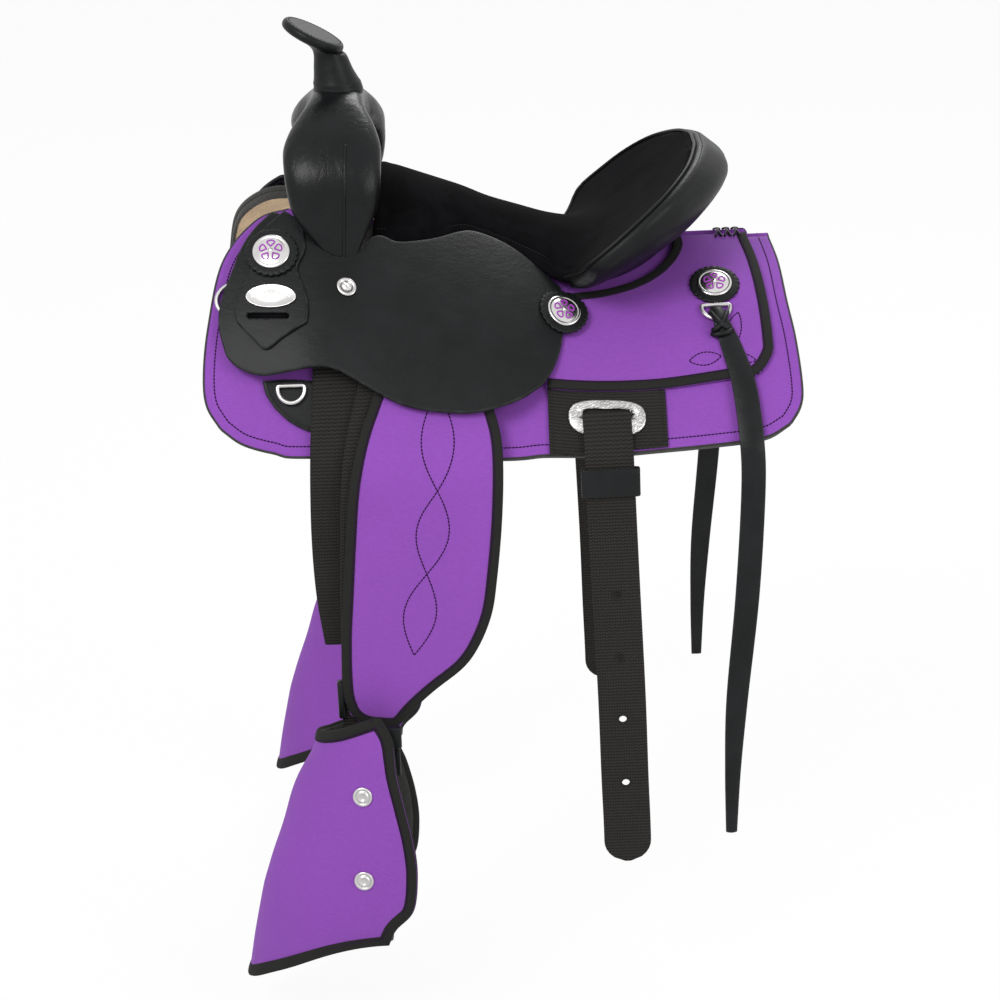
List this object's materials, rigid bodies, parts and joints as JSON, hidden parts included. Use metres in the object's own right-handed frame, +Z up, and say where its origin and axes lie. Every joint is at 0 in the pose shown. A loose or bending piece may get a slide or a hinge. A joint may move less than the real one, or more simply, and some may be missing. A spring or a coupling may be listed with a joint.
{
  "type": "all-around saddle",
  "caption": "Young rider's all-around saddle: horn and swell, padded seat and cantle, lined skirts, jockeys, fenders, hooded stirrups, flank billets and tie straps.",
  "frame": {"origin": "on the centre plane, on the line of the back that the tail end of the skirts' lining rests on", "axes": "+X to the horse's tail, +Y to its off (right) side, +Z up; the near (left) side that the picture shows is -Y"},
  "size_m": [0.5348, 0.574, 0.8525],
  "materials": {
    "tree": "fibre-covered wood, hidden",
    "black_leather": "smooth black leather-look, soft sheen",
    "black_suede": "matt black suede",
    "purple_cordura": "woven purple nylon with black binding",
    "tan_fleece": "tan felted lining",
    "black_webbing": "ribbed black nylon webbing",
    "silver_plate": "engraved silver-coloured plate",
    "steel": "plain steel"
  },
  "bodies": {
    "saddle": {"badge_left": "silver_plate", "badge_right": "silver_plate", "breast_dee_left": "steel", "breast_dee_right": "steel", "cantle_cover": "black_leather", "front_concho_left": "silver_plate", "front_concho_right": "silver_plate", "front_dee_left": "steel", "front_dee_right": "steel", "front_rigging_plate_left": "black_leather", "front_rigging_plate_right": "black_leather", "ground_seat": "tree", "horn_cap": "black_leather", "horn_neck_wrap": "black_leather", "horn_post": "steel", "jockey_left": "black_leather", "jockey_right": "black_leather", "latigo_keeper_left": "black_leather", "latigo_keeper_right": "black_leather", "lining_left": "tan_fleece", "lining_right": "tan_fleece", "middle_concho_left": "silver_plate", "middle_concho_right": "silver_plate", "rear_concho_left": "silver_plate", "rear_concho_right": "silver_plate", "rear_dee_left": "steel", "rear_dee_right": "steel", "rear_jockey_left": "purple_cordura", "rear_jockey_right": "purple_cordura", "rear_lacing": "black_leather", "rear_rigging_oval_left": "silver_plate", "rear_rigging_oval_right": "silver_plate", "rear_rigging_patch_left": "black_webbing", "rear_rigging_patch_right": "black_webbing", "seat_pad": "black_suede", "skirt_left": "purple_cordura", "skirt_right": "purple_cordura", "swell_cover": "black_leather", "swell_screw_left": "steel", "swell_screw_right": "steel", "tree_bar_left": "tree", "tree_bar_right": "tree", "tree_cantle": "tree", "tree_fork": "tree"},
    "left_fender": {"fender_left": "purple_cordura", "stirrup_leather_left": "black_webbing"},
    "left_stirrup": {"stirrup_left": "tree", "tapadero_left": "purple_cordura"},
    "left_flank_billet": {"flank_billet_left": "black_webbing"},
    "left_billet_keeper": {"billet_keeper_left": "black_leather"},
    "left_tie_strap": {"tie_strap_left": "black_leather"},
    "right_fender": {"fender_right": "purple_cordura", "stirrup_leather_right": "black_webbing"},
    "right_stirrup": {"stirrup_right": "tree", "tapadero_right": "purple_cordura"},
    "right_flank_billet": {"flank_billet_right": "black_webbing"},
    "right_billet_keeper": {"billet_keeper_right": "black_leather"},
    "right_tie_strap": {"tie_strap_right": "black_leather"},
    "latigo": {"latigo": "black_webbing"},
    "off_billet": {"off_billet": "black_webbing"}
  },
  "joints": [
    {"name": "left_fender_swing", "type": "hinge", "parent": "saddle", "child": "left_fender", "pos_m": [-0.08, -0.117, 0.002], "axis": [0, 0.866, -0.5], "range_deg": [-6, 14]},
    {"name": "left_stirrup_swing", "type": "hinge", "parent": "left_fender", "child": "left_stirrup", "pos_m": [-0.135, -0.226, -0.39], "axis": [0, 1, 0], "range_deg": [-25, 25]},
    {"name": "latigo_swing", "type": "hinge", "parent": "saddle", "child": "latigo", "pos_m": [-0.141, -0.15, -0.03], "axis": [0, 0.866, -0.5], "range_deg": [-8, 5]},
    {"name": "left_flank_billet_swing", "type": "hinge", "parent": "saddle", "child": "left_flank_billet", "pos_m": [0.098, -0.185, -0.098], "axis": [-1, 0, 0], "range_deg": [0, 60]},
    {"name": "left_keeper_slide", "type": "slide", "parent": "left_flank_billet", "child": "left_billet_keeper", "axis": [0, 0, 1], "range_m": [-0.03, 0]},
    {"name": "left_tie_strap_swing", "type": "hinge", "parent": "saddle", "child": "left_tie_strap", "pos_m": [0.203, -0.108, -0.03], "axis": [-1, 0, 0], "range_deg": [0, 45]},
    {"name": "right_fender_swing", "type": "hinge", "parent": "saddle", "child": "right_fender", "pos_m": [-0.08, 0.117, 0.002], "axis": [0, 0.866, 0.5], "range_deg": [-6, 14]},
    {"name": "right_stirrup_swing", "type": "hinge", "parent": "right_fender", "child": "right_stirrup", "pos_m": [-0.135, 0.226, -0.39], "axis": [0, 1, 0], "range_deg": [-25, 25]},
    {"name": "off_billet_swing", "type": "hinge", "parent": "saddle", "child": "off_billet", "pos_m": [-0.141, 0.15, -0.03], "axis": [0, 0.866, 0.5], "range_deg": [-8, 5]},
    {"name": "right_flank_billet_swing", "type": "hinge", "parent": "saddle", "child": "right_flank_billet", "pos_m": [0.098, 0.185, -0.098], "axis": [1, 0, 0], "range_deg": [0, 60]},
    {"name": "right_keeper_slide", "type": "slide", "parent": "right_flank_billet", "child": "right_billet_keeper", "axis": [0, 0, 1], "range_m": [-0.03, 0]},
    {"name": "right_tie_strap_swing", "type": "hinge", "parent": "saddle", "child": "right_tie_strap", "pos_m": [0.203, 0.108, -0.03], "axis": [1, 0, 0], "range_deg": [0, 45]}
  ]
}
